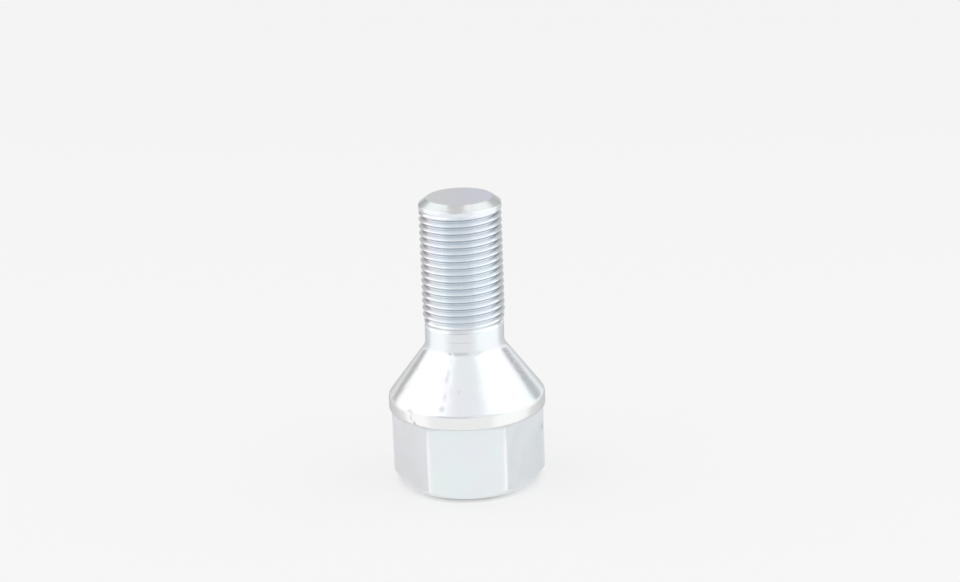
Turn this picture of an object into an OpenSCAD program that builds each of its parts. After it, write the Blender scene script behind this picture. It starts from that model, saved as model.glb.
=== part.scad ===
// Wheel bolt, forged and rolled in one piece: a hexagon head, a rim, a straight cone seat, a short plain
// neck and a fine right-hand thread with a chamfered tip. It stands on the end face of its head, with the
// origin in the middle of that face and Z along the shank.

/* [Hexagon] */
// Width across the flats, which takes the wrench
hex_af = 19; // [17:0.1:21]
// Height from the end face to the rim
hex_h = 10.9; // [6:0.1:16]
// Radius of the six rounded upright edges
hex_edge_r = 0.4; // [0.2:0.05:1.5]
// How far the round end face stays inside the flats
end_inset = 0.3; // [0.1:0.05:1.5]
// Slope of the chamfer round the end face, in degrees
end_slope = 30; // [15:1:45]

/* [Rim and cone] */
// How far the rim stands out past the corners of the hexagon
rim_over = 0.34; // [0.1:0.02:3]
// Height of the rim, up to the line of the cone
rim_h = 2.1; // [1.6:0.1:5]
// Radius of the lower edge of the rim
rim_low_r = 0.5; // [0.2:0.1:0.8]
// Radius between the rim and the cone
rim_top_r = 1; // [0.3:0.1:2]
// Included angle of the cone seat, in degrees
cone_angle = 74; // [60:1:90]

/* [Shank] */
// Length of the shank, from the end of the cone to the tip
shank_len = 21.6; // [21:0.1:40]
// Diameter of the plain neck below the thread
neck_d = 11.3; // [10.9:0.05:11.6]
// Radius of the fillet between the cone and the neck
neck_fillet_r = 2; // [0.5:0.1:3]
// Diameter of the flat tip
tip_d = 9.35; // [8:0.05:10.5]
// Height of the chamfer round the tip
tip_h = 0.9; // [0.5:0.05:2]

/* [Thread] */
// Diameter over the crests
thread_d = 11.75; // [11.7:0.01:12]
// Rise in one turn
pitch = 1; // [0.75:0.05:1.25]
// Length with full crests, up to the tip
thread_len = 17; // [10:0.5:17.5]
// Height of the run-out, from the full crests down to the plain neck
runout_h = 1.27; // [0.8:0.01:2.5]
// Where the groove starts round the shank, in degrees
groove_start = 342; // [0:1:359]

/* [Hidden] */
$fn = 96;
sides = 6;
flank = 30;
turn_steps = 24;
groove_corners = 4;
hex_edge_at = (hex_af / 2 - hex_edge_r) / cos(180 / sides);
corner_r = hex_edge_at + hex_edge_r;
rim_r = corner_r + rim_over;
rim_z = hex_h + rim_h;
neck_r = neck_d / 2;
seat_angle = cone_angle / 2;
cone_end_z = rim_z + (rim_r - neck_r) / tan(seat_angle);
tip_z = cone_end_z + shank_len;
crest_r = thread_d / 2;
thread_z = tip_z - thread_len;
neck_end_z = thread_z - runout_h;
groove_depth = 0.613 * pitch;
root_w = pitch / 6;
groove_z = neck_end_z + root_w;
// The groove's outer side lies this far past the crests, so that its chords clear them
groove_over = crest_r * (1 / cos(180 / turn_steps) - 1) + 0.02;

function on_circle(r, angle) = r * [cos(angle), sin(angle)];

function arc(centre, r, from, to, steps) =
    [for (i = [0 : steps]) centre + on_circle(r, from + (to - from) * i / steps)];

module hexagon_outline() {
    half_side = 180 / sides;
    for (k = [0 : sides - 1])
        translate(on_circle(hex_edge_at, k * 360 / sides)) circle(hex_edge_r);
    polygon([for (k = [0 : sides - 1], side = [-half_side, half_side])
        on_circle(hex_edge_at, k * 360 / sides) + on_circle(hex_edge_r, k * 360 / sides + side)]);
}

// Half section of the round body that cuts the chamfer on the hexagon
module chamfer_section() {
    face_r = hex_af / 2 - end_inset;
    top_z = hex_h + rim_h / 2;
    polygon([[0, 0], [face_r, 0], [rim_r, (rim_r - face_r) * tan(end_slope)], [rim_r, top_z], [0, top_z]]);
}

module hexagon() intersection() {
    linear_extrude(hex_h + rim_h / 2) hexagon_outline();
    rotate_extrude() chamfer_section();
}

// Half section of the rim, the cone, the neck and the shank over the crests
module turned_section() {
    rim_tangent = rim_top_r * tan(seat_angle / 2);
    fillet_tangent = neck_fillet_r * tan(seat_angle / 2);
    polygon(concat(
        [[0, hex_h]],
        arc([rim_r - rim_low_r, hex_h + rim_low_r], rim_low_r, -90, 0, 5),
        arc([rim_r - rim_top_r, rim_z - rim_tangent], rim_top_r, 0, seat_angle, 6),
        arc([neck_r + neck_fillet_r, cone_end_z + fillet_tangent], neck_fillet_r, 180 + seat_angle, 180, 8),
        [[neck_r, neck_end_z], [crest_r, thread_z], [crest_r, tip_z - tip_h], [tip_d / 2, tip_z], [0, tip_z]]
    ));
}

// Corners of the groove's section at one step: outside, root, root and outside, each as radius and height
function groove_section(depth) = let (
    out_r = crest_r + groove_over,
    out_h = root_w / 2 + (depth + groove_over) * tan(flank)
) [[out_r, -out_h], [crest_r - depth, -root_w / 2], [crest_r - depth, root_w / 2], [out_r, out_h]];

// The space between the crests, which climbs to the right, from above the plain neck to past the tip
module thread_groove() {
    steps = ceil((tip_z + pitch - groove_z) / pitch * turn_steps);
    runout_steps = (thread_z - groove_z) / pitch * turn_steps;
    first_depth = crest_r - neck_r;
    points = [
        for (i = [0 : steps])
            let (depth = first_depth + (groove_depth - first_depth) * min(1, i / runout_steps))
            for (corner = groove_section(depth))
                concat(on_circle(corner[0], i * 360 / turn_steps), pitch * i / turn_steps + corner[1])
    ];
    skin = [
        for (i = [0 : steps - 1], k = [0 : groove_corners - 1])
            let (a = groove_corners * i + k, b = groove_corners * i + (k + 1) % groove_corners)
            each [[a, b + groove_corners, b], [a, a + groove_corners, b + groove_corners]]
    ];
    start_cap = [for (k = [0 : groove_corners - 1]) k];
    end_cap = [for (k = [groove_corners - 1 : -1 : 0]) groove_corners * steps + k];
    polyhedron(points, concat([start_cap], skin, [end_cap]));
}

module wheel_bolt() color([0.82, 0.84, 0.86]) difference() {
    union() {
        hexagon();
        rotate_extrude() turned_section();
    }
    translate([0, 0, groove_z]) rotate(groove_start) thread_groove();
}

wheel_bolt();
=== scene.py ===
import math

import bmesh
import bpy
from mathutils import Matrix, Quaternion, Vector, noise


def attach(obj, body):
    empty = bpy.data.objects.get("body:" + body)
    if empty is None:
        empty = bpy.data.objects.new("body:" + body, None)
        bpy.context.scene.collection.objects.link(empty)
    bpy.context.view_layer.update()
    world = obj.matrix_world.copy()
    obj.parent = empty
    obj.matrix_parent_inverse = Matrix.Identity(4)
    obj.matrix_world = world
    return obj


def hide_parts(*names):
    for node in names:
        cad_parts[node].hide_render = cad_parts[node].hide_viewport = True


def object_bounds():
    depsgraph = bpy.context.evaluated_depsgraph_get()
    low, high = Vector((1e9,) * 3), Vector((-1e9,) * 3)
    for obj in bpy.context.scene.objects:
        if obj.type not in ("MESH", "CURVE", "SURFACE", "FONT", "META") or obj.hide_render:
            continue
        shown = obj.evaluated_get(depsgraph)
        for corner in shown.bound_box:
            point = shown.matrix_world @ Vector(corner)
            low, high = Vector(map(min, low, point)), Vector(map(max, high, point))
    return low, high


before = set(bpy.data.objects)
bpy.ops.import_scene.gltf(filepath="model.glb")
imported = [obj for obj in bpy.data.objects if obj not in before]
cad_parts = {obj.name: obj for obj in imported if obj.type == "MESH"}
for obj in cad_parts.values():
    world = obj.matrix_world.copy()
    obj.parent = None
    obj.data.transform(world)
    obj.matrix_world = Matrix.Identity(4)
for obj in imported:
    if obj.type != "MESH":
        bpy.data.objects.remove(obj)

cad_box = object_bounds()

# The head, the cone and the plain neck. The real bolt is one piece of steel: the head is forged, with a
# hexagon pressed below a round rim, and the cone seat and the neck are turned above it. It is modelled as
# a ring that is extruded up the profile and shaped at each level, to six flats below the rim.
MM = 0.001
half_flats = 9.5 * MM
edge_radius = 0.4 * MM
hexagon_top = 10.9 * MM
face_radius = half_flats - 0.3 * MM
chamfer_slope = math.tan(math.radians(37))
edge_centre = (half_flats - edge_radius) / math.cos(math.radians(30))
corner_radius = edge_centre + edge_radius
rim_radius = min(abs(side) for corner in cad_box for side in tuple(corner)[:2])
rim_low_radius = 0.5 * MM
rim_top_radius = 1.0 * MM
rim_top = hexagon_top + 2.1 * MM
seat = math.radians(37)
neck_radius = 5.65 * MM
fillet_radius = 2.0 * MM
cone_end = rim_top + (rim_radius - neck_radius) / math.tan(seat)
neck_start = cone_end + fillet_radius * math.tan(seat / 2)
neck_joint = neck_start + 1.6 * MM


def flats_reach(angle):
    """How far the hexagon reaches from the axis at an angle, with its upright edges rounded."""
    off_edge = (angle + math.radians(30)) % math.radians(60) - math.radians(30)
    flat = half_flats / math.cos(math.radians(30) - abs(off_edge))
    side = edge_centre * math.sin(off_edge)
    if abs(side) > edge_radius:
        return flat
    rounded = edge_centre * math.cos(off_edge) + math.sqrt(edge_radius ** 2 - side ** 2)
    return min(flat, rounded)


def column_angles():
    """Angles of the upright columns: close together at the hexagon's edges, even between them."""
    rounding = [math.radians(5 * k) for k in range(-6, 7)]
    near = [math.atan2(edge_radius * math.sin(turn), edge_centre + edge_radius * math.cos(turn))
            for turn in rounding]
    gap = math.radians(60) - 2 * near[-1]
    even = [near[-1] + gap * k / 30 for k in range(1, 30)]
    return [math.radians(60 * side) + angle for side in range(6) for angle in near + even]


def end_chamfer(height):
    """A ring of the chamfer round the end face, from 0 at the face to 1 at the flats."""
    def place(angle):
        reach = flats_reach(angle)
        radius = face_radius + (reach - face_radius) * height
        return radius, (radius - face_radius) * chamfer_slope
    return place


def flats(height):
    """A ring of the hexagon, from 0 at the chamfer to 1 under the rim."""
    def place(angle):
        reach = flats_reach(angle)
        start = (reach - face_radius) * chamfer_slope
        return reach, start + (hexagon_top - start) * height
    return place


def rim_underside(turn):
    """A ring of the rim's lower edge, from 0 where it leaves the hexagon to 1 where it stands upright."""
    centre = rim_radius - rim_low_radius

    def place(angle):
        reach = flats_reach(angle)
        first = math.acos(max(0, (reach - centre) / rim_low_radius))
        lean = first * (1 - turn)
        return centre + rim_low_radius * math.cos(lean), hexagon_top + rim_low_radius * (1 - math.sin(lean))
    return place


def ledge(across):
    """A ring of the flat under the rim, from 0 at the hexagon to 1 at the rim's lower edge."""
    centre = rim_radius - rim_low_radius

    def place(angle):
        reach = flats_reach(angle)
        lean = math.acos(max(0, (reach - centre) / rim_low_radius))
        at_hexagon = hexagon_top + rim_low_radius * (1 - math.sin(lean))
        return reach + (max(reach, centre) - reach) * across, at_hexagon
    return place


def turned(radius, height):
    """A round ring."""
    return lambda angle: (radius, height)


def turned_arc(radius, height, size, first, last, steps):
    """Round rings along an arc of the profile, about a centre at that radius and height."""
    turns = [first + (last - first) * k / steps for k in range(steps + 1)]
    return [turned(radius + size * math.cos(turn), height + size * math.sin(turn)) for turn in turns]


def turned_line(first, last, steps):
    """Round rings between two points of the profile, without its ends."""
    return [turned(first[0] + (last[0] - first[0]) * k / steps, first[1] + (last[1] - first[1]) * k / steps)
            for k in range(1, steps)]


rim_arc_height = rim_top - rim_top_radius * math.tan(seat / 2)
cone_low = (rim_radius - rim_top_radius + rim_top_radius * math.cos(seat),
            rim_arc_height + rim_top_radius * math.sin(seat))
cone_high = (neck_radius + fillet_radius - fillet_radius * math.cos(seat),
             neck_start - fillet_radius * math.sin(seat))
head_rings = (
    [end_chamfer(k / 4) for k in range(5)]
    + [flats(k / 12) for k in range(1, 13)]
    + [ledge(k / 3) for k in range(1, 4)]
    + [rim_underside(k / 5) for k in range(1, 6)]
    + turned_line((rim_radius, hexagon_top + rim_low_radius), (rim_radius, rim_arc_height), 5)
    + turned_arc(rim_radius - rim_top_radius, rim_arc_height, rim_top_radius, 0, seat, 6)
    + turned_line(cone_low, cone_high, 18)
    + turned_arc(neck_radius + fillet_radius, neck_start, fillet_radius, math.pi + seat, math.pi, 10)
    + turned_line((neck_radius, neck_start), (neck_radius, neck_joint), 4)
    + [turned(neck_radius, neck_joint)]
)

bpy.ops.object.select_all(action="DESELECT")
angles = sorted(angle % math.tau for angle in column_angles())
bpy.ops.mesh.primitive_circle_add(vertices=len(angles), radius=face_radius, fill_type="TRIFAN")
bolt = bpy.context.object
bolt.name = "bolt_body"
bpy.ops.object.mode_set(mode="EDIT")
bpy.ops.mesh.select_mode(type="EDGE")
bpy.ops.mesh.select_all(action="DESELECT")
bpy.ops.mesh.select_non_manifold()


def place_ring(place):
    """Moves the selected ring to its place on the profile. Each vertex keeps its own column."""
    sketch = bmesh.from_edit_mesh(bolt.data)
    ring = sorted((vert for vert in sketch.verts if vert.select),
                  key=lambda vert: math.atan2(vert.co.y, vert.co.x) % math.tau)
    for angle, vert in zip(angles, ring):
        radius, height = place(angle)
        vert.co = (radius * math.cos(angle), radius * math.sin(angle), height)
    bmesh.update_edit_mesh(bolt.data)


place_ring(head_rings[0])
for ring in head_rings[1:]:
    bpy.ops.mesh.extrude_region_move()
    place_ring(ring)
bpy.ops.object.mode_set(mode="OBJECT")

# The thread and the tip. The real thread is rolled between dies, so its crests and roots are rounded and
# it fades out above the neck and below the tip. One turn of its profile is screwed up the shank, drawn in
# to the run-out and the chamfer, cut level at both ends, capped at the tip and joined to the neck.
shank_length = 21.6 * MM
crest_radius = 5.875 * MM
pitch = 1.0 * MM
thread_depth = 0.613 * pitch
full_thread = 17.0 * MM
runout = 1.27 * MM
root_width = pitch / 6
groove_start = math.radians(342)
tip = cone_end + shank_length
tip_radius = 4.675 * MM
tip_height = 0.9 * MM
thread_start = tip - full_thread
runout_start = thread_start - runout
groove_height = runout_start + root_width
tip_chamfer = tip - tip_height
tip_rounding = 0.22 * MM
groove_lead = 0.45 * MM
last_full_turn = tip_chamfer - 1.1 * MM
last_trace = tip_chamfer - 0.5 * MM
crest_softness = 0.06 * MM
cut_low = neck_joint + 0.25 * MM
cut_high = tip - 0.3 * MM
turns = 21
spare_turns = 3
turn_steps = 120
hair = 0.0005 * MM


def thread_profile():
    """Half of one turn's profile, as depth and height from the middle of the groove to a crest."""
    flank = math.radians(30)
    root_round = root_width / 2 / math.tan(math.radians(30))
    crest_round = (pitch - root_width - 2 * thread_depth * math.tan(flank)) / 2 / math.tan(flank)
    points = [(thread_depth - root_round * (1 - math.cos(turn)), root_round * math.sin(turn))
              for turn in (math.radians(20 * k) for k in range(4))]
    points += [(crest_round * (1 - math.cos(turn)), pitch / 2 - crest_round * math.sin(turn))
               for turn in (math.radians(20 * k) for k in (3, 2, 1, 0))]
    points.insert(4, ((points[3][0] + points[4][0]) / 2, (points[3][1] + points[4][1]) / 2))
    return points


rising = thread_profile()
falling = [(depth, pitch - height) for depth, height in reversed(rising[:-1])]
first_turn = groove_height + pitch * (math.tau - groove_start) / math.tau - spare_turns * pitch
profile = bpy.data.meshes.new("thread_profile")
outline = rising + falling
profile.from_pydata([(crest_radius - depth, 0, first_turn + height) for depth, height in outline],
                    [(k, k + 1) for k in range(len(outline) - 1)], [])
thread = bpy.data.objects.new("thread", profile)
bpy.context.scene.collection.objects.link(thread)
bpy.ops.object.select_all(action="DESELECT")
bpy.context.view_layer.objects.active = thread
thread.select_set(True)
screw = thread.modifiers.new("rolling", "SCREW")
screw.axis = "Z"
screw.angle = math.tau
screw.screw_offset = pitch
screw.iterations = turns
screw.steps = turn_steps
screw.render_steps = turn_steps
bpy.ops.object.modifier_apply(modifier=screw.name)
bpy.ops.object.mode_set(mode="EDIT")
bpy.ops.mesh.select_all(action="SELECT")
bpy.ops.mesh.remove_doubles(threshold=0.002 * MM)
bpy.ops.object.mode_set(mode="OBJECT")


def share(value, first, last):
    """How far a value lies from the first to the last, from 0 to 1."""
    return min(1, max(0, (value - first) / (last - first)))


def softer_min(one, other, softness):
    """The smaller of two values, with a rounded change from one to the other."""
    mix = share(one - other, -softness, softness)
    return one * (1 - mix) + other * mix - softness * mix * (1 - mix)


groove = thread.data.attributes.new("groove", "FLOAT", "POINT")
for vert in thread.data.vertices:
    radius = math.hypot(vert.co.x, vert.co.y)
    crest = neck_radius + (crest_radius - neck_radius) * share(vert.co.z, runout_start, thread_start)
    fade = share(vert.co.z, runout_start - groove_lead, thread_start) ** 0.9
    fade *= 1 - share(vert.co.z, last_full_turn, last_trace)
    depth = (crest_radius - radius) * fade
    chamfer = crest_radius - (vert.co.z - tip_chamfer) * (crest_radius - tip_radius) / tip_height
    new_radius = softer_min(crest - depth, chamfer, crest_softness)
    below_chamfer = share(chamfer - (crest - depth), 0, 0.15 * MM)
    groove.data[vert.index].value = (crest_radius - radius) / thread_depth * math.sqrt(fade) * below_chamfer
    vert.co.x *= new_radius / radius
    vert.co.y *= new_radius / radius

bpy.ops.object.mode_set(mode="EDIT")
bpy.ops.mesh.select_all(action="SELECT")
bpy.ops.mesh.bisect(plane_co=(0, 0, cut_low), plane_no=(0, 0, 1), clear_inner=True, threshold=hair)
bpy.ops.mesh.select_all(action="SELECT")
bpy.ops.mesh.bisect(plane_co=(0, 0, cut_high), plane_no=(0, 0, 1), clear_outer=True, threshold=hair)


def select_open_ring(height):
    """Selects the open edges of the thread near a height."""
    bpy.ops.mesh.select_all(action="DESELECT")
    sketch = bmesh.from_edit_mesh(bpy.context.object.data)
    for edge in sketch.edges:
        near = all(abs(vert.co.z - height) < 0.01 * MM for vert in edge.verts)
        edge.select_set(near and edge.is_boundary)
    bmesh.update_edit_mesh(bpy.context.object.data)


bpy.ops.mesh.select_mode(type="EDGE")
select_open_ring(cut_high)
ring_radius = crest_radius - (cut_high - tip_chamfer) * (crest_radius - tip_radius) / tip_height
ring_height = cut_high
tip_slope = math.atan2(tip_height, crest_radius - tip_radius)
rounding_reach = tip_rounding * math.tan(tip_slope / 2)
tip_rings = [(tip_radius - rounding_reach + tip_rounding * math.sin(lean),
              tip - tip_rounding * (1 - math.cos(lean)))
             for lean in (tip_slope * (1 - k / 5) for k in range(6))]
tip_rings += [(tip_radius * size, tip) for size in (0.85, 0.6, 0.3)]
for radius, height in tip_rings:
    bpy.ops.mesh.extrude_region_move(TRANSFORM_OT_translate={"value": (0, 0, height - ring_height)})
    bpy.ops.transform.resize(value=(radius / ring_radius, radius / ring_radius, 1),
                             center_override=(0, 0, height))
    ring_radius, ring_height = radius, height
bpy.ops.mesh.extrude_region_move()
bpy.ops.mesh.merge(type="CENTER")
bpy.ops.object.mode_set(mode="OBJECT")

bpy.ops.object.select_all(action="DESELECT")
thread.select_set(True)
bolt.select_set(True)
bpy.context.view_layer.objects.active = bolt
bpy.ops.object.join()
bpy.ops.object.mode_set(mode="EDIT")
bpy.ops.mesh.select_mode(type="EDGE")
bpy.ops.mesh.select_all(action="DESELECT")
bpy.ops.mesh.select_non_manifold()
bpy.ops.mesh.bridge_edge_loops()
bpy.ops.mesh.select_all(action="SELECT")
bpy.ops.mesh.remove_doubles(threshold=0.001 * MM)
bpy.ops.mesh.normals_make_consistent(inside=False)
bpy.ops.object.mode_set(mode="OBJECT")

# The knocks of handling, pressed into the skin: a nick in the rim left of the front, a row of rubbed
# spots down the cone and a few small dents. Each is read off the photograph as an angle from the front
# in degrees, a height, a width, a length and a depth in millimetres, and how dull it is.
knocks = [
    (-45.0, 12.90, 0.45, 0.38, 0.20, 0.5),
    (-44.5, 11.95, 0.16, 0.50, 0.10, 0.0),
    (-41.3, 11.15, 0.26, 0.38, 0.30, 0.9),
    (-36.5, 12.10, 0.30, 0.45, 0.05, 0.0),
    (-17.5, 20.45, 0.22, 0.22, 0.05, 0.3),
    (-16.6, 19.60, 0.24, 0.34, 0.006, 0.35),
    (-17.6, 18.20, 0.26, 0.42, 0.010, 0.55),
    (-18.3, 17.40, 0.30, 0.46, 0.012, 0.8),
    (-17.6, 16.30, 0.20, 0.30, 0.004, 0.25),
    (-17.2, 15.35, 0.26, 0.44, 0.010, 0.7),
    (-18.0, 13.90, 0.40, 0.34, 0.014, 0.9),
    (-5.0, 16.00, 0.14, 0.14, 0.012, 0.9),
    (88.9, 7.35, 0.50, 0.50, 0.12, 1.2),
]
finer_within = 2.4
felt_within = 3
knocked_top = neck_start - 0.19 * MM
untouched_foot = 0.2 * MM
bpy.ops.object.mode_set(mode="EDIT")
bpy.ops.mesh.select_mode(type="FACE")
bpy.ops.mesh.select_all(action="DESELECT")
sketch = bmesh.from_edit_mesh(bolt.data)


def from_knock(point, knock):
    """How far a point lies from a knock, in widths and lengths of it."""
    angle, level, width, length = knock[:4]
    turn = math.atan2(point.x, -point.y) - math.radians(angle)
    turn = (turn + math.pi) % math.tau - math.pi
    sideways = math.hypot(point.x, point.y) * turn / MM / width
    return math.hypot(sideways, (point.z / MM - level) / length)


for face in sketch.faces:
    middle = face.calc_center_median()
    if middle.z < knocked_top and any(from_knock(middle, knock) < finer_within for knock in knocks):
        face.select_set(True)
bmesh.update_edit_mesh(bolt.data)
bpy.ops.mesh.subdivide(number_cuts=2)
bpy.ops.object.mode_set(mode="OBJECT")
dull = bolt.data.attributes.new("dull", "FLOAT", "POINT")
for vert in bolt.data.vertices:
    for knock in knocks:
        away = from_knock(vert.co, knock)
        if away < felt_within and vert.co.z > untouched_foot:
            knock_depth, dullness = knock[4:]
            strength = math.exp(-away * away)
            rough_edge = 1 + 0.5 * noise.noise(vert.co * 2500)
            depth = knock_depth * MM * strength * rough_edge
            dull.data[vert.index].value += dullness * strength
            radius = math.hypot(vert.co.x, vert.co.y)
            vert.co.x *= (radius - depth) / radius
            vert.co.y *= (radius - depth) / radius
bpy.ops.object.shade_smooth_by_angle(angle=math.radians(32))
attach(bolt, "root")
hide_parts("wheel_bolt")

# The colour of the zinc: bright plate, greyer at the left and bluer from the middle on, with the tints of
# the flats, the rim, the thread and the tip. Painted into it are shade and reflections: the side flats
# darker, a dark band under the rim, a darker band down the middle of the neck and the thread, a grey middle
# and white sides on the tip's chamfer, darker grooves, darkest at the sides of the thread, and a paler end
# chamfer. Knocks are duller, and the upright edges of the hexagon are paler, partly wear and partly painted
# highlight.


class Wire:
    """A socket of a material. Arithmetic on wires adds Math nodes."""

    def __init__(self, tree, socket):
        self.tree = tree
        self.socket = socket

    def node(self, kind, settings=None, inputs=None, output=0):
        return add_node(self.tree, kind, settings, inputs, output)

    def maths(self, operation, *values):
        return self.node("ShaderNodeMath", {"operation": operation}, dict(enumerate(values)))

    def __add__(self, other):
        return self.maths("ADD", self, other)

    __radd__ = __add__

    def __mul__(self, other):
        return self.maths("MULTIPLY", self, other)

    __rmul__ = __mul__

    def __sub__(self, other):
        return self.maths("SUBTRACT", self, other)

    def __rsub__(self, other):
        return self.maths("SUBTRACT", other, self)

    def __abs__(self):
        return self.maths("ABSOLUTE", self)

    def at_least(self, other):
        return self.maths("MAXIMUM", self, other)

    def at_most(self, other):
        return self.maths("MINIMUM", self, other)


def add_node(tree, kind, settings=None, inputs=None, output=0):
    """Adds a node to a material: its settings first, then the values or wires of its sockets."""
    node = tree.nodes.new(kind)
    for name, value in (settings or {}).items():
        setattr(node, name, value)
    for name, value in (inputs or {}).items():
        if isinstance(value, Wire):
            tree.links.new(value.socket, node.inputs[name])
        else:
            node.inputs[name].default_value = value
    return Wire(tree, node.outputs[output]) if node.outputs else None


def ramp(value, low, high):
    """A mask that climbs from 0 to 1 while the value goes from low to high."""
    span = {"Value": value, "From Min": low, "From Max": high}
    return value.node("ShaderNodeMapRange", {}, span, "Result")


def blend(factor, one, other):
    """A colour between two others."""
    return factor.node("ShaderNodeMix", {"data_type": "RGBA"}, {"Factor": factor, "A": one, "B": other}, 2)


zinc = bpy.data.materials.new("bright_zinc")
zinc.use_nodes = True
tree = zinc.node_tree
tree.nodes.clear()
place = add_node(tree, "ShaderNodeTexCoord", output="Object")
across = add_node(tree, "ShaderNodeSeparateXYZ", {}, {"Vector": place}, "X")
height = Wire(tree, across.socket.node.outputs["Z"])
plan_place = add_node(tree, "ShaderNodeVectorMath", {"operation": "MULTIPLY"}, {0: place, 1: (1, 1, 0)})
reach = add_node(tree, "ShaderNodeVectorMath", {"operation": "LENGTH"}, {0: plan_place}, "Value")
clouds = add_node(tree, "ShaderNodeTexNoise", {}, {"Vector": place, "Scale": 130, "Detail": 2}, "Fac")
on_hexagon = 1 - ramp(height, hexagon_top, hexagon_top + 0.3 * MM)
on_edges = ramp(reach, corner_radius - 0.25 * MM, corner_radius - 0.02 * MM) * on_hexagon
on_chamfer = ramp(height, tip_chamfer, tip_chamfer + 0.1 * MM)
on_thread = ramp(height, runout_start, thread_start) * (1 - on_chamfer)
on_tip = ramp(height, tip - 0.06 * MM, tip - 0.01 * MM)
in_groove = add_node(tree, "ShaderNodeAttribute", {"attribute_name": "groove"}, {}, "Fac")
drift = ramp(across + 0.016 * clouds - 0.008, -9 * MM, 0.0)
colour = blend(drift, (0.865, 0.868, 0.880, 1), (0.835, 0.893, 0.913, 1))
colour = blend(ramp(clouds, 0.45, 0.68), colour, (0.860, 0.867, 0.918, 1))
haze = add_node(tree, "ShaderNodeTexNoise", {}, {"Vector": place, "Scale": 210, "Detail": 3}, "Fac")
front_half = corner_radius / 2
past_left_edge = ramp(across, -front_half - 0.15 * MM, -front_half + 0.15 * MM)
past_right_edge = ramp(across, front_half - 0.15 * MM, front_half + 0.15 * MM)
# Painted shade: the left flat is darker than the front one, and the right flat darker still; their hues are
# the plate's tint.
flats_tint_and_shade = blend(past_left_edge, (0.862, 0.862, 0.872, 1), (0.850, 0.925, 0.925, 1))
flats_tint_and_shade = blend(past_right_edge, flats_tint_and_shade, (0.782, 0.840, 0.845, 1))
flats_tint_and_shade = blend(0.8 * ramp(haze, 0.42, 0.62), flats_tint_and_shade, (0.868, 0.882, 0.925, 1))
colour = blend(0.75 * on_hexagon, colour, flats_tint_and_shade)
# Painted shade: the hexagon's flats darken in a band just under the rim's overhang.
painted_shade_under_rim = ramp(height, hexagon_top - 0.60 * MM, hexagon_top - 0.05 * MM) * on_hexagon
colour = blend(0.55 * painted_shade_under_rim, colour, (0.62, 0.63, 0.65, 1))
on_rim = ramp(height, hexagon_top, hexagon_top + 0.1 * MM) * (1 - ramp(height, rim_top - 0.3 * MM, rim_top))
colour = blend(0.8 * on_rim, colour, (0.872, 0.870, 0.862, 1))
# Painted reflection: a darker band down the middle of the front of the neck; the same band darkens the
# thread and the tip chamfer below.
on_neck = ramp(height, cone_end - 0.2 * MM, neck_start) * (1 - ramp(height, runout_start, thread_start))
painted_reflection_band = ramp(across, -2.3 * MM, -1.5 * MM) * (1 - ramp(across, 0.9 * MM, 1.8 * MM))
colour = blend(on_neck * painted_reflection_band, colour, (0.775, 0.803, 0.838, 1))
thread_tint_and_reflection = blend(ramp(across, -4.6 * MM, -3.0 * MM), (0.885, 0.872, 0.900, 1), (0.838, 0.882, 0.922, 1))
# Painted reflection: the thread is darker and bluer down the middle of its front.
thread_tint_and_reflection = blend(painted_reflection_band, thread_tint_and_reflection, (0.805, 0.855, 0.900, 1))
colour = blend(0.75 * on_thread, colour, thread_tint_and_reflection)
# Painted shade: the thread's grooves are darkened by their depth, patchily.
colour = blend((0.15 + 0.45 * clouds) * ramp(in_groove, 0.55, 1.0), colour, (0.42, 0.48, 0.54, 1))
# Painted shade: the grooves darken further towards the thread's left and right sides.
painted_shade_at_sides = 1.3 * ramp(across, 3.9 * MM, 4.8 * MM) + ramp(across, -4.5 * MM, -5.1 * MM)
colour = blend(0.55 * painted_shade_at_sides * ramp(in_groove, 0.35, 0.9), colour, (0.30, 0.32, 0.35, 1))
# Painted reflection: the tip's chamfer is grey down the middle of its front and near white at its sides.
tip_chamfer_painted_reflection = blend(painted_reflection_band, (0.735, 0.775, 0.775, 1), (0.930, 0.930, 0.935, 1))
colour = blend(on_chamfer, colour, tip_chamfer_painted_reflection)
tip_tint = blend(ramp(across, -3.5 * MM, 0.5 * MM), (0.905, 0.920, 0.935, 1), (0.890, 0.900, 0.985, 1))
colour = blend(on_tip, colour, tip_tint)
# Partly wear and partly painted highlight: the hexagon's upright edges are paler, fading out towards the
# rim.
wear_and_highlight_fade = 1 - ramp(height, hexagon_top - 3.4 * MM, hexagon_top - 0.9 * MM)
colour = blend(0.9 * on_edges * wear_and_highlight_fade, colour, (0.940, 0.945, 0.950, 1))
# Painted reflection: the chamfer at the foot of the hexagon is paler.
above_chamfer = height - chamfer_slope * (reach - face_radius)
end_chamfer_painted_reflection = 1 - ramp(above_chamfer, 0.01 * MM, 0.07 * MM)
colour = blend(0.5 * end_chamfer_painted_reflection, colour, (0.985, 0.995, 0.995, 1))
rubbed = add_node(tree, "ShaderNodeAttribute", {"attribute_name": "dull"}, {}, "Fac")
colour = blend(0.7 * rubbed, colour, (0.60, 0.60, 0.63, 1))
mark_height = abs(height - (neck_start + 1.0 * MM))
neck_mark = 1 - ramp(mark_height, 0.02 * MM, 0.15 * MM)
neck_mark = neck_mark * ramp(across, -2.4 * MM, -1.6 * MM) * (1 - ramp(across, 0.4 * MM, 1.4 * MM))
colour = blend(0.30 * neck_mark, colour, (0.50, 0.51, 0.56, 1))

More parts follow.
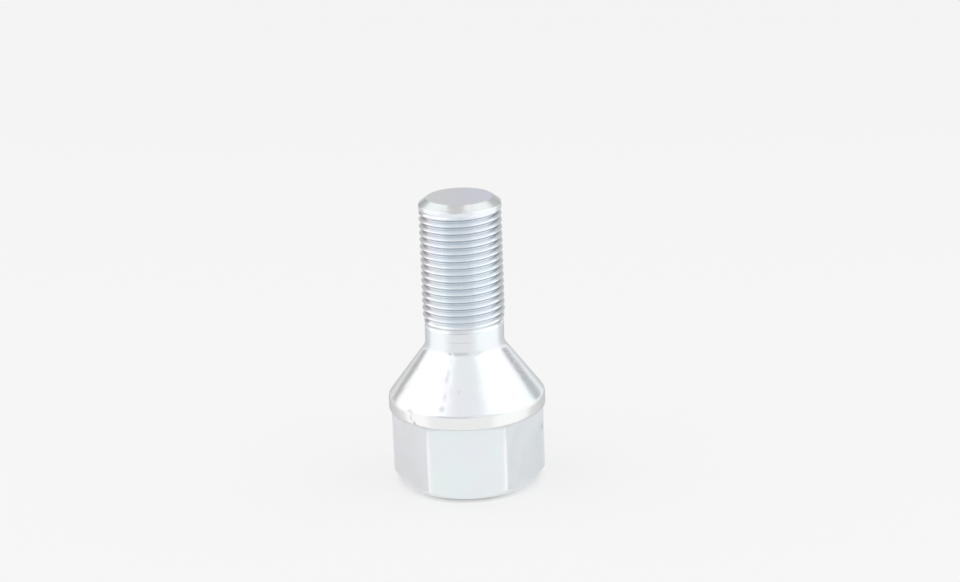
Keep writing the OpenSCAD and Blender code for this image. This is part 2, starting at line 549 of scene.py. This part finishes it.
# The skin of the zinc: long swells of the forging, the rings that the lathe left on the cone and the neck,
# the satin of the pressed hexagon, and a few hair scratches. The relief is in millimetres.
swell = add_node(tree, "ShaderNodeTexNoise", {}, {"Vector": place, "Scale": 420, "Detail": 1}, "Fac")
ring_place = add_node(tree, "ShaderNodeMapping", {}, {"Vector": place, "Scale": (250, 250, 7000)})
lathe_rings = add_node(tree, "ShaderNodeTexNoise", {},
                       {"Vector": ring_place, "Scale": 1, "Detail": 2}, "Fac")
satin = add_node(tree, "ShaderNodeTexNoise", {}, {"Vector": place, "Scale": 2400, "Detail": 3}, "Fac")
hair_place = add_node(tree, "ShaderNodeMapping", {},
                      {"Vector": place, "Rotation": (0.5, 0.35, 0.9), "Scale": (120, 900, 2600)})
hair_lines = add_node(tree, "ShaderNodeTexNoise", {}, {"Vector": hair_place, "Scale": 1, "Detail": 0}, "Fac")
scratches = 1 - ramp(abs(hair_lines - 0.5), 0.0, 0.012)
scratches = scratches * ramp(clouds, 0.50, 0.62)
turned_skin = 1 - on_hexagon
relief = (0.045 * swell + 0.006 * lathe_rings * turned_skin + 0.010 * satin * on_hexagon
          - 0.003 * scratches)
skin = add_node(tree, "ShaderNodeBump", {}, {"Height": relief, "Strength": 1.0, "Distance": MM}, "Normal")
grain = add_node(tree, "ShaderNodeTexNoise", {}, {"Vector": place, "Scale": 3000, "Detail": 3}, "Fac")
roughness = (0.19 + 0.24 * on_hexagon - 0.04 * on_thread + 0.12 * on_tip + 0.10 * grain
             + 0.10 * scratches + 0.20 * rubbed)
shader = add_node(tree, "ShaderNodeBsdfPrincipled", {},
                  {"Base Color": colour, "Metallic": 1.0, "Roughness": roughness, "Normal": skin,
                   "Specular Tint": (0.78, 0.78, 0.78, 1)})
add_node(tree, "ShaderNodeOutputMaterial", {}, {"Surface": shader})
bolt.data.materials.clear()
bolt.data.materials.append(zinc)

# The floor that the bolt stands on: a pale seamless sheet, wide enough to fill every view. It isn't part
# of the bolt. A shadow is painted into its colour at the front and back of the bolt's foot.
bpy.ops.object.select_all(action="DESELECT")
bpy.ops.mesh.primitive_plane_add(size=8)
floor = bpy.context.object
floor.name = "studio_floor"
pale = bpy.data.materials.new("pale_sheet")
pale.use_nodes = True
pale.node_tree.nodes.clear()
sheet_tree = pale.node_tree
place = add_node(sheet_tree, "ShaderNodeTexCoord", output="Object")
reach = add_node(sheet_tree, "ShaderNodeVectorMath", {"operation": "LENGTH"}, {0: place}, "Value")
sideways = add_node(sheet_tree, "ShaderNodeSeparateXYZ", {}, {"Vector": place}, "X")
behind = Wire(sheet_tree, sideways.socket.node.outputs["Y"])
# Painted shadow: the sheet's colour darkens round the bolt's foot, in front of it and behind it only.
near_foot = 1 - ramp(reach, face_radius + 0.1 * MM, corner_radius)
painted_contact_shadow = near_foot * (1 - ramp(abs(sideways), 2.5 * MM, 6.5 * MM))
sheet_colour = blend(painted_contact_shadow, (0.93, 0.93, 0.93, 1), (0.60, 0.60, 0.60, 1))
sheet = add_node(sheet_tree, "ShaderNodeBsdfDiffuse", {}, {"Color": sheet_colour})
sheet_white = blend(ramp(behind, -0.05, 0.25), (0.965, 0.965, 0.965, 1), (0.925, 0.925, 0.925, 1))
white = add_node(sheet_tree, "ShaderNodeEmission", {}, {"Color": sheet_white, "Strength": 1.0})
seen = add_node(sheet_tree, "ShaderNodeLightPath", output="Is Camera Ray")
mirrored = add_node(sheet_tree, "ShaderNodeLightPath", output="Is Glossy Ray")
through = add_node(sheet_tree, "ShaderNodeLightPath", output="Is Transmission Ray")
open_floor = 0.6 * ramp(reach, 9.6 * MM, 11.0 * MM) * (1 - painted_contact_shadow) * seen
evenness = open_floor.at_least(0.9 * (mirrored + through))
sheet = add_node(sheet_tree, "ShaderNodeMixShader", {}, {"Fac": evenness, 1: sheet, 2: white})
add_node(sheet_tree, "ShaderNodeOutputMaterial", {}, {"Surface": sheet})
floor.data.materials.append(pale)

# The light: an even pale room and two large soft boxes, one on each side of a gap above the bolt. Grey
# cards close the gap and the corners behind. Only reflections show the cards, as in a studio, where they
# stand outside the picture.
world = bpy.data.worlds.new("pale_room")
bpy.context.scene.world = world
world.use_nodes = True
world.node_tree.nodes.clear()
room = world.node_tree
seen = add_node(room, "ShaderNodeLightPath", output="Is Camera Ray")
mirrored = add_node(room, "ShaderNodeLightPath", output="Is Glossy Ray")
through = add_node(room, "ShaderNodeLightPath", output="Is Transmission Ray")
shown = (seen + mirrored + through).at_most(1.0)
room_light = 0.80
shown_white = 0.92
box_inner = (0.32, 0.90)
box_outer = (1.23, 0.05)
box_front = -0.75
left_back = 0.76
right_back = 0.57
back = 2.2
ceiling = 1.2
room_glow = add_node(room, "ShaderNodeBackground", {},
                     {"Color": (1, 1, 1, 1), "Strength": room_light + (shown_white - room_light) * shown})
add_node(room, "ShaderNodeOutputWorld", {}, {"Surface": room_glow})


def soft_box(name, side, back, radiance):
    """A lamp beside the bolt, on the side -1 for left or 1 for right, as far back as given."""
    inner = Vector((side * box_inner[0], 0, box_inner[1]))
    outer = Vector((side * box_outer[0], 0, box_outer[1]))
    middle = (inner + outer) / 2
    middle.y = (box_front + back) / 2
    slope = (outer - inner).length
    bpy.ops.object.light_add(type="AREA", location=middle)
    lamp = bpy.context.object
    lamp.name = name
    lamp.data.shape = "RECTANGLE"
    lamp.data.size = slope
    lamp.data.size_y = back - box_front
    lamp.data.energy = radiance * math.pi * slope * (back - box_front)
    across = (outer - inner).normalized()
    down = Vector((-side, 0, -1)).normalized()
    down = (down - across * down.dot(across)).normalized()
    lamp.rotation_euler = Matrix((across, (-down).cross(across), -down)).transposed().to_euler()


def grey_card(name, corners, tone):
    """A flat grey card that only reflections show."""
    card_mesh = bpy.data.meshes.new(name)
    card_mesh.from_pydata(corners, [], [tuple(range(len(corners)))])
    card = bpy.data.objects.new(name, card_mesh)
    bpy.context.scene.collection.objects.link(card)
    card.visible_camera = False
    card.visible_diffuse = False
    card.visible_shadow = False
    grey = bpy.data.materials.new(name)
    grey.use_nodes = True
    paint = grey.node_tree
    paint.nodes.clear()
    glow = add_node(paint, "ShaderNodeEmission", {}, {"Color": (tone, tone, tone, 1), "Strength": 1.0})
    add_node(paint, "ShaderNodeOutputMaterial", {}, {"Surface": glow})
    card_mesh.materials.append(grey)


def level_card(name, left, right, near, far, height, tone):
    """A grey card that lies level above the bolt."""
    corners = [(left, near, height), (right, near, height), (right, far, height), (left, far, height)]
    grey_card(name, corners, tone)


def standing_card(name, first, last, low, high, tone):
    """A grey card that stands upright over a line on the floor."""
    corners = [(*first, low), (*last, low), (*last, high), (*first, high)]
    grey_card(name, corners, tone)


def sloping_card(name, side, low_edge, high_edge, near, tone):
    """A grey card behind a soft box, in its slope, between two edges given as distance and height."""
    corners = [(side * low_edge[0], near, low_edge[1]), (side * low_edge[0], back, low_edge[1]),
               (side * high_edge[0], back, high_edge[1]), (side * high_edge[0], near, high_edge[1])]
    grey_card(name, corners, tone)


soft_box("left_soft_box", -1, left_back, 0.30)
soft_box("right_soft_box", 1, right_back, 0.30)
level_card("overhead_card", -0.42, 0.42, -0.12, 0.12, ceiling, 0.66)
level_card("middle_card", -0.42, 0.42, 0.12, 0.6, ceiling, 0.42)
level_card("far_card", -0.42, 0.42, 0.6, back, ceiling, 0.66)
level_card("gap_card", -0.42, 0.42, -0.42, -0.12, ceiling, 0.50)
level_card("front_card", -0.26, 0.26, -0.6, -0.19, 0.55, 0.93)
standing_card("back_card", (-1.3, back), (1.3, back), 0, ceiling, 0.72)
card_joint = (0.80, 0.45)
sloping_card("right_card", 1, box_outer, card_joint, right_back, 0.48)
sloping_card("right_upper_card", 1, card_joint, box_inner, right_back, 0.64)
sloping_card("left_card", -1, box_outer, card_joint, left_back, 0.43)
sloping_card("left_upper_card", -1, card_joint, box_inner, left_back, 0.62)
level_card("right_strip_card", 0.11, 0.29, -0.08, 0.24, 0.8, 1.15)
standing_card("right_low_card", (0.75, 0.40), (0.2, 0.90), 0, 0.13, 1.15)
standing_card("left_low_card", (-0.75, 0.60), (-0.2, 0.90), 0, 0.09, 1.15)
standing_card("camera_card", (-0.55, -0.6), (0.1, -0.6), 0.06, 0.36, 0.68)
for side, name, front in ((-1, "left", (0.56, -0.35)), (1, "right", (0.30, -0.39))):
    corners = [(0.0056, -0.0104), front, (0.75, 0.08), (0.55, 0.32), (0.052, 0.022), (0.045, 0)]
    grey_card(name + "_floor_card", [(side * x, y, hair) for x, y in corners], 1.10)
    corners = [(0.0062, -0.0104), (0.045, 0.001), (0.052, 0.023), (0.58, 0.35),
               (0, 0.9), (0, 0.0115), (0.0119, 0)]
    grey_card(name + "_back_floor_card", [(side * x, y, hair) for x, y in corners], 0.78)

# The camera of the photograph: a long lens a little above the bolt, turned slightly to its right, with
# the picture rolled so that the bolt leans to the left.
picture_width = 960
picture_height = 582
focal_pixels = 2724
target = Vector((0, 0, 21.4 * MM))
target_pixel = (464.7, 335.5)
distance = 389 * MM
elevation = math.radians(18.2)
turn = math.radians(2)
roll = math.radians(-2.2)
away = Vector((math.sin(turn) * math.cos(elevation), -math.cos(turn) * math.cos(elevation),
               math.sin(elevation)))
bpy.ops.object.camera_add(location=target + away * distance)
camera = bpy.context.object
camera.data.sensor_width = 36
camera.data.lens = focal_pixels * 36 / picture_width
camera.data.clip_start = 0.01
camera.data.clip_end = 20
pan = math.atan((picture_width / 2 - target_pixel[0]) / focal_pixels)
tilt = math.atan((target_pixel[1] - picture_height / 2) / focal_pixels)
camera.rotation_mode = "QUATERNION"
camera.rotation_quaternion = (
    (-away).to_track_quat("-Z", "Y")
    @ Quaternion((0, 0, 1), roll)
    @ Quaternion((0, 1, 0), -pan)
    @ Quaternion((1, 0, 0), tilt)
)
bpy.context.scene.camera = camera
bpy.context.scene.view_settings.view_transform = "Standard"
